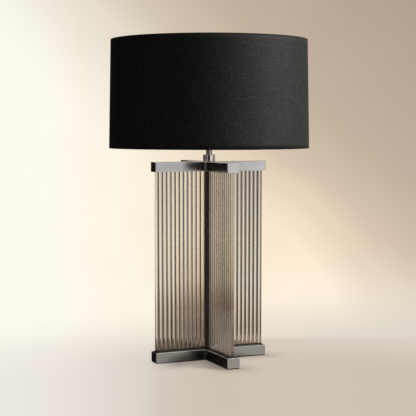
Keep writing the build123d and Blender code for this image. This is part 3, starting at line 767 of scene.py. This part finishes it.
def throughGlass(s, seen, crossed, x, y, aside, up):
    # painted refraction: the same wall behind the rods, between painted dark ends of the room
    swing = s.less(s.math("ARCTAN2", x, y), math.radians(glassBack["turn"]))
    swing = s.math("COSINE", s.times(4.0, swing))
    byDirection = s.ramp(s.math("MULTIPLY_ADD", swing, 0.5, 0.5), glassBack["byDirection"])
    # painted shade: directions further below eye level show darker and browner
    below = s.times(up, -5.0)
    byHeight = s.ramp(below, glassBack["byHeight"])
    # painted light to the right, painted shade to the left
    byHeight = s.mix(s.remap(aside, *glassBack["rightFrom"]), s.tint(byHeight, glassBack["left"]),
                     s.tint(byHeight, glassBack["right"]))
    glassy = s.tint(s.tint(s.tint(seen, glassBack["cool"]), byDirection), byHeight)
    # painted shade where light crosses several rods
    stacked = s.ramp(below, glassBack["stacked"])
    stacked = s.mix(0.08, stacked, s.tint(stacked, byDirection))
    deep = s.remap(crossed, *glassBack["stackedAt"], how="LINEAR")
    glassy = s.mix(s.times(deep, glassBack["stackedShare"]), glassy, stacked)
    # painted shade at the far left
    glassy = s.mix(s.remap(aside, *glassBack["farLeftTo"]), s.tint(glassy, glassBack["farLeft"]), glassy)
    return s.mix(1.0, glassy, (1.0, 1.0, 1.0), "DARKEN")   # never brighter than white


def inMetal(s, seen, y, ahead, aside, up):
    # painted reflections: polished metal alone sees light and dark bands round the lamp, and white towards
    # the front and top
    swept = s.math("MULTIPLY_ADD", s.math("ARCTAN2", aside, s.times(ahead, -1.0)), 1 / math.tau, 0.5)
    frontTopHighlight = s.times(s.remap(y, 0.1, -0.3), s.remap(up, -0.15, 0.0))
    return s.tint(s.mix(frontTopHighlight, seen, (1.0, 1.0, 1.0)), s.ramp(swept, paintedMetalBands))


def makeWorld():
    world = bpy.data.worlds.new("studio")
    bpy.context.scene.world = world
    s = Shader(world)
    direction = s.add("TexCoord").outputs["Generated"]
    split = s.add("SeparateXYZ", Vector=direction)
    x, y, up = (split.outputs[k] for k in "XYZ")
    ahead, aside = turned(s, x, y)
    path = s.add("LightPath").outputs
    seen = wallAndFloor(s, direction, ahead, aside, up)
    # only what is seen through glass, and never light that glass passes on to other pieces
    inGlass = s.times(s.math("GREATER_THAN", path["Transmission Depth"], 0.5),
                      s.math("LESS_THAN", path["Diffuse Depth"], 0.5))
    shows = [(path["Is Glossy Ray"], inMetal(s, seen, y, ahead, aside, up)),
             (inGlass, throughGlass(s, seen, path["Transmission Depth"], x, y, aside, up)),
             (path["Is Camera Ray"], seen)]
    result = s.add("Background", Color=backFacts["roomColour"], Strength=backFacts["roomLevel"]).outputs[0]
    for kind, colour in shows:
        result = s.blend(kind, result, s.add("Background", Color=colour, Strength=1.0).outputs[0])
    s.add("OutputWorld", Surface=result)


makeWorld()
print("the backdrop is set")


# floor

floorFacts = {
    "reach": 1.5,
    "fade": (0.60, 1.0),            # fades into the backdrop with distance,
    "fadeBehind": (0.15, 0.30),     # sooner behind the lamp,
    "fadeLeft": (-0.02, -0.15),     # and to its left
    "lightAside": (0.05, -0.35),
    "speck": (0.40, 0.34, 0.28),
    "inGlass": (0.175, 0.105, 0.052),
    "underSpan": (0.27, 0.23),      # how far out glass shows the painted brown shade
    "inStackedGlass": (0.075, 0.042, 0.020),
    "stackedAt": (2.4, 4.6),        # surfaces crossed
    "stackedSpan": (0.75, 0.45),
    "shadeReach": 75.0 * mm,
    "shade": (0.16, 0.10, 0.055),
    "innerSide": (0.03, -0.03),     # the shade is deeper to the left and in front
    # painted reflection: the dark floor that polished bars see near the corner
    "corner": (0.03, 0.025, 0.020),
    "mirrorShadeSpan": (0.14, 0.07),
    # painted contact shadow at the cross's foot
    "line": (0.015, 0.012, 0.010),
    "contactShadowWidth": (4.5 * mm, 1.0 * mm),
    "letBy": 0.6,                   # share of the backdrop's own floor tone that shows through
}


def floorFinish():
    # part of it takes the lamp's shadow, part lets the backdrop's floor tone through
    s = newFinish("paleFloor")
    split = s.add("SeparateXYZ", Vector=s.add("NewGeometry").outputs["Position"])
    x, y = split.outputs["X"], split.outputs["Y"]
    ahead, aside = turned(s, x, y)
    span = s.math("SQRT", s.plus(s.times(x, x), s.times(y, y)))
    away = s.larger(s.remap(span, *floorFacts["fade"]), s.remap(ahead, *floorFacts["fadeBehind"]))
    away = s.larger(away, s.remap(aside, *floorFacts["fadeLeft"], (0.0, 0.97)))
    fine = s.noise(s.place(), 30.0, 4.0, 0.6)
    # painted light: the floor grows lighter to the left
    plain = s.mix(s.remap(aside, *floorFacts["lightAside"]), backFacts["floorTone"], backFacts["floorLitLeft"])
    tone = s.mix(s.times(fine, 0.07), plain, floorFacts["speck"])

    # painted shade: what glass shows of the floor right under it is dark brown, darker where rods stack up
    path = s.add("LightPath").outputs
    crossed, throughRay = path["Transmission Depth"], path["Is Transmission Ray"]
    deep = s.times(s.remap(crossed, *floorFacts["stackedAt"], how="LINEAR"),
                   s.times(s.remap(span, *floorFacts["stackedSpan"]), throughRay))
    under = s.larger(s.times(s.remap(span, *floorFacts["underSpan"]), throughRay), deep)
    tone = s.mix(s.times(under, 0.9), tone, floorFacts["inGlass"])
    tone = s.mix(s.times(deep, 0.8), tone, floorFacts["inStackedGlass"])

    # painted shade: soft and brown close round the cross, and a painted dark contact line right at its foot
    sizes = [s.math("ABSOLUTE", v) for v in (x, y)]
    nearest = []
    for along, side in (sizes, sizes[::-1]):
        out = s.larger(s.less(along, feltFacts["reach"]), 0.0)
        off = s.larger(s.less(side, feltFacts["half"]), 0.0)
        nearest.append(s.math("SQRT", s.plus(s.times(out, out), s.times(off, off))))
    clear = s.math("MINIMUM", *nearest)
    inner = s.larger(s.remap(x, *floorFacts["innerSide"]), s.remap(y, *floorFacts["innerSide"]))
    falloff = s.math("POWER", s.remap(clear, floorFacts["shadeReach"], 0.0, how="LINEAR"), 2.6)
    tone = s.mix(s.times(falloff, s.math("MULTIPLY_ADD", inner, 0.55, 0.15)), tone, floorFacts["shade"])

    # painted reflection: polished bars see the floor dark near the corner between the arms
    mirrored = s.times(path["Is Glossy Ray"], s.math("LESS_THAN", crossed, 0.5))
    corner = s.times(s.remap(span, *floorFacts["mirrorShadeSpan"]), mirrored)
    tone = s.mix(s.times(corner, 0.95), tone, floorFacts["corner"])
    # painted contact shadow: a dark line right at the cross's foot
    tone = s.mix(s.remap(clear, *floorFacts["contactShadowWidth"]), tone, floorFacts["line"])

    bsdf = s.surface(colour=tone, rough=0.6, level=0.2, normal=s.bump(fine, 0.05, 1.0 * mm))
    close = s.remap(clear, floorFacts["shadeReach"], 0.0)
    share = s.larger(away, s.math("MULTIPLY_ADD", close, -0.3, floorFacts["letBy"]))
    share = s.larger(s.times(share, s.less(1.0, under)), mirrored)
    share = s.times(share, s.less(1.0, corner))
    s.plug(s.blend(share, bsdf.outputs[0], s.add("BsdfTransparent").outputs[0]), s.out.inputs["Surface"])
    return s


mesh = bmesh.new()
bmesh.ops.create_circle(mesh, cap_ends=True, radius=floorFacts["reach"], segments=96)
floor = meshPiece("floor", mesh)
wear(floor, floorFinish())
print("the floor is down")


# lights

lightFacts = {
    "keyRight": {"at": (4.1, -2.3, 2.7), "aim": (0, 0, 0.4), "size": (2.2, 2.8), "power": 430,
                 "colour": (1.0, 0.96, 0.90)},
    "fillFront": {"at": (0.6, -3.0, 1.8), "aim": (0, 0, 0.3), "size": (1.6, 1.2), "power": 8,
                  "colour": (1.0, 0.98, 0.95)},
}

for name, facts in lightFacts.items():
    light = bpy.data.lights.new(name, "AREA")
    light.shape = "RECTANGLE"
    light.size, light.size_y = facts["size"]
    light.energy = facts["power"]
    light.color = facts["colour"]
    softBox = bpy.data.objects.new(name, light)
    bpy.context.scene.collection.objects.link(softBox)
    softBox.location = facts["at"]
    softBox.rotation_euler = (Vector(facts["aim"]) - Vector(facts["at"])).to_track_quat("-Z", "Y").to_euler()
    softBox.visible_transmission = False
print("lights are up")


# camera

cameraFacts = {
    "at": (-1.0679, -2.4879, 0.5302),
    "down": 3.936,
    "turn": -23.178,
    "lens": 103.74,
    "sensor": 36.0,
}

lens = bpy.data.cameras.new("camera")
lens.lens = cameraFacts["lens"]
lens.sensor_width = cameraFacts["sensor"]
camera = bpy.data.objects.new("camera", lens)
bpy.context.scene.collection.objects.link(camera)
camera.location = cameraFacts["at"]
camera.rotation_euler = (math.radians(90 - cameraFacts["down"]), 0, math.radians(cameraFacts["turn"]))

scene = bpy.context.scene
scene.camera = camera
scene.view_settings.view_transform = "Standard"
scene.cycles.max_bounces = 48               # light crosses many rods
scene.cycles.transmission_bounces = 48
scene.cycles.transparent_max_bounces = 24
scene.cycles.glossy_bounces = 12
scene.cycles.sample_clamp_indirect = 3.0
print("the camera is in place")
